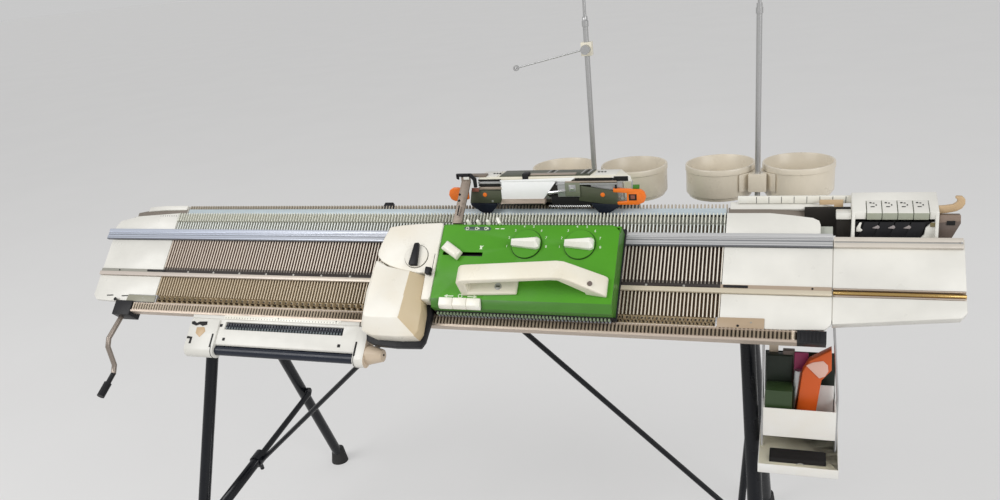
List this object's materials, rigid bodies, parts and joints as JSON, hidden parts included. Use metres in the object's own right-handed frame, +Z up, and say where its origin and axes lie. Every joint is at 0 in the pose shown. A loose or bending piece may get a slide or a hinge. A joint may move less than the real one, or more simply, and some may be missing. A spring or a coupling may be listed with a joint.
{
  "type": "domestic knitting machine",
  "caption": "Double-bed hand knitting machine on a folding tube stand, with carriage, colour changer, chart reader, yarn masts with cups and hanging tool trays.",
  "frame": {"origin": "under the middle of the outer box, on the floor", "axes": "+X along the beds to the knitter's right, +Y away from the knitter, +Z up"},
  "size_m": [1.318, 0.6129, 1.054],
  "materials": {
    "cast_silver": "satin cast ends",
    "channel_walls": "pale channel walls",
    "rail_steel": "bright drawn steel",
    "warm_white": "smooth white",
    "black_plastic": "satin black",
    "peg_steel": "bright steel teeth",
    "stand_black": "gloss black tube",
    "foot_rubber": "matt black",
    "chrome": "bright plate",
    "cover_green": "smooth green",
    "cream": "smooth cream",
    "orange": "bright orange",
    "brass": "drawn rod",
    "grey_plastic": "pale grey-green",
    "tray_cream": "cream tray",
    "tool_green": "coloured boxes",
    "scale_white": "pale strip"
  },
  "bodies": {
    "machine_frame": {"front_bed": "channel_walls", "front_gate_pegs": "peg_steel", "front_rails": "rail_steel", "front_end_panels": "warm_white", "front_pushers": "peg_steel", "guard_rail": "rail_steel", "guard_rail_ends": "black_plastic", "bed_cradles": "cast_silver", "stand_rails": "stand_black", "stand_braces": "stand_black", "extension_panel": "warm_white", "extension_rails": "brass", "colour_changer_body": "warm_white", "changer_bracket": "cream", "scale_bar": "scale_white", "yarn_masts": "chrome", "thread_guides": "cream", "yarn_cups": "cream", "cup_clips": "cream", "chart_reader_body": "warm_white", "tool_trays": "tray_cream", "tray_hanger": "chrome", "tray_tools": "tool_green"},
    "back_bed": {"back_bed": "channel_walls", "back_gate_pegs": "peg_steel", "back_rails": "rail_steel", "back_end_panels": "warm_white", "back_guard_rail": "rail_steel"},
    "crank": {"racking_crank": "chrome"},
    "front_legs": {"front_legs": "stand_black", "front_feet": "foot_rubber"},
    "rear_legs": {"rear_legs": "stand_black", "rear_feet": "foot_rubber"},
    "spreader_tubes": {"spreader_tubes": "stand_black"},
    "spreader_rods": {"spreader_rods": "stand_black"},
    "carriage": {"front_lock_base": "rail_steel", "front_lock_cover": "cover_green", "carriage_handle": "cream", "pattern_unit_body": "cream", "pattern_unit_skirt": "black_plastic", "back_lock": "cover_green", "bridge_hood": "cast_silver", "carriage_bridge": "rail_steel", "bridge_bar": "grey_plastic", "strippers": "orange", "yarn_deflector": "chrome"},
    "dial_left": {"stitch_dial_left": "warm_white"},
    "dial_right": {"stitch_dial_right": "warm_white"},
    "lever": {"lock_lever": "warm_white"},
    "key_arrow_left": {"arrow_key_left": "cream"},
    "key_zero": {"zero_key": "cream"},
    "key_arrow_right": {"arrow_key_right": "cream"},
    "pattern_knob": {"pattern_dial": "black_plastic"},
    "slider": {"pattern_slider": "black_plastic"},
    "changer_key_1": {"colour_key_1": "grey_plastic"},
    "changer_key_2": {"colour_key_2": "grey_plastic"},
    "changer_key_3": {"colour_key_3": "grey_plastic"},
    "changer_key_4": {"colour_key_4": "grey_plastic"},
    "yarn_arm": {"tension_arm": "chrome"},
    "reader_roller": {"chart_roller": "black_plastic"}
  },
  "joints": [
    {"name": "carriage_slide", "type": "slide", "parent": "machine_frame", "child": "carriage", "axis": [1, 0, 0], "range_m": [-0.52, 0.255]},
    {"name": "back_bed_rack", "type": "slide", "parent": "machine_frame", "child": "back_bed", "axis": [1, 0, 0], "range_m": [-0.015, 0.015]},
    {"name": "racking_crank_turn", "type": "hinge", "parent": "machine_frame", "child": "crank", "pos_m": [-0.585, -0.20453, 0.61909], "axis": [0, -0.866, -0.5], "range_deg": [-1085, 1085]},
    {"name": "front_legs_fold", "type": "hinge", "parent": "machine_frame", "child": "front_legs", "pos_m": [-0.074, -0.01841, 0.597], "axis": [1, 0, 0], "range_deg": [0, 7]},
    {"name": "rear_legs_fold", "type": "hinge", "parent": "machine_frame", "child": "rear_legs", "pos_m": [-0.074, 0.03229, 0.597], "axis": [1, 0, 0], "range_deg": [-7.97, 0]},
    {"name": "spreader_tube_turn", "type": "hinge", "parent": "front_legs", "child": "spreader_tubes", "pos_m": [-0.074, -0.16569, 0.1967], "axis": [1, 0, 0], "range_deg": [-4.4, 0]},
    {"name": "spreader_rod_slide", "type": "slide", "parent": "spreader_tubes", "child": "spreader_rods", "axis": [0, 0.9889, 0.1487], "range_m": [-0.09841, 0]},
    {"name": "stitch_dial_left_turn", "type": "hinge", "parent": "carriage", "child": "dial_left", "pos_m": [0.1143, -0.16734, 0.73038], "axis": [0, -0.7071, 0.7071], "range_deg": [-150, 150]},
    {"name": "stitch_dial_right_turn", "type": "hinge", "parent": "carriage", "child": "dial_right", "pos_m": [0.1898, -0.16734, 0.73038], "axis": [0, -0.7071, 0.7071], "range_deg": [-150, 150]},
    {"name": "lock_lever_slide", "type": "slide", "parent": "carriage", "child": "lever", "axis": [1, 0, 0], "range_m": [0, 0.025]},
    {"name": "arrow_key_left_press", "type": "slide", "parent": "carriage", "child": "key_arrow_left", "axis": [0, 0.7071, -0.7071], "range_m": [0, 0.003], "stiffness_N_per_m": 300, "springref_m": -0.001},
    {"name": "zero_key_press", "type": "slide", "parent": "carriage", "child": "key_zero", "axis": [0, 0.7071, -0.7071], "range_m": [0, 0.003], "stiffness_N_per_m": 300, "springref_m": -0.001},
    {"name": "arrow_key_right_press", "type": "slide", "parent": "carriage", "child": "key_arrow_right", "axis": [0, 0.7071, -0.7071], "range_m": [0, 0.003], "stiffness_N_per_m": 300, "springref_m": -0.001},
    {"name": "pattern_dial_turn", "type": "hinge", "parent": "carriage", "child": "pattern_knob", "pos_m": [-0.046, -0.18572, 0.71624], "axis": [0, -0.7071, 0.7071], "range_deg": [-120, 120]},
    {"name": "pattern_slider_slide", "type": "slide", "parent": "carriage", "child": "slider", "axis": [0, -0.7071, -0.7071], "range_m": [-0.02, 0.003]},
    {"name": "colour_key_1_press", "type": "slide", "parent": "machine_frame", "child": "changer_key_1", "axis": [0, 0, -1], "range_m": [0, 0.003], "stiffness_N_per_m": 300, "springref_m": -0.001},
    {"name": "colour_key_2_press", "type": "slide", "parent": "machine_frame", "child": "changer_key_2", "axis": [0, 0, -1], "range_m": [0, 0.003], "stiffness_N_per_m": 300, "springref_m": -0.001},
    {"name": "colour_key_3_press", "type": "slide", "parent": "machine_frame", "child": "changer_key_3", "axis": [0, 0, -1], "range_m": [0, 0.003], "stiffness_N_per_m": 300, "springref_m": -0.001},
    {"name": "colour_key_4_press", "type": "slide", "parent": "machine_frame", "child": "changer_key_4", "axis": [0, 0, -1], "range_m": [0, 0.003], "stiffness_N_per_m": 300, "springref_m": -0.001},
    {"name": "tension_arm_swing", "type": "hinge", "parent": "machine_frame", "child": "yarn_arm", "pos_m": [0.155, 0.08119, 0.955], "axis": [0, 1, 0], "range_deg": [-20, 35]},
    {"name": "chart_roller_turn", "type": "hinge", "parent": "machine_frame", "child": "reader_roller", "pos_m": [-0.257, -0.25148, 0.57977], "axis": [1, 0, 0], "continuous": true}
  ],
  "couplings": [
    {"joint": "racking_crank_turn", "follows": "back_bed_rack", "rad_per_m": 1256.6},
    {"joint": "rear_legs_fold", "follows": "front_legs_fold", "ratio": -1.124},
    {"joint": "spreader_tube_turn", "follows": "front_legs_fold", "ratio": -0.61446},
    {"joint": "spreader_rod_slide", "follows": "front_legs_fold", "m_per_rad": -0.80142}
  ]
}
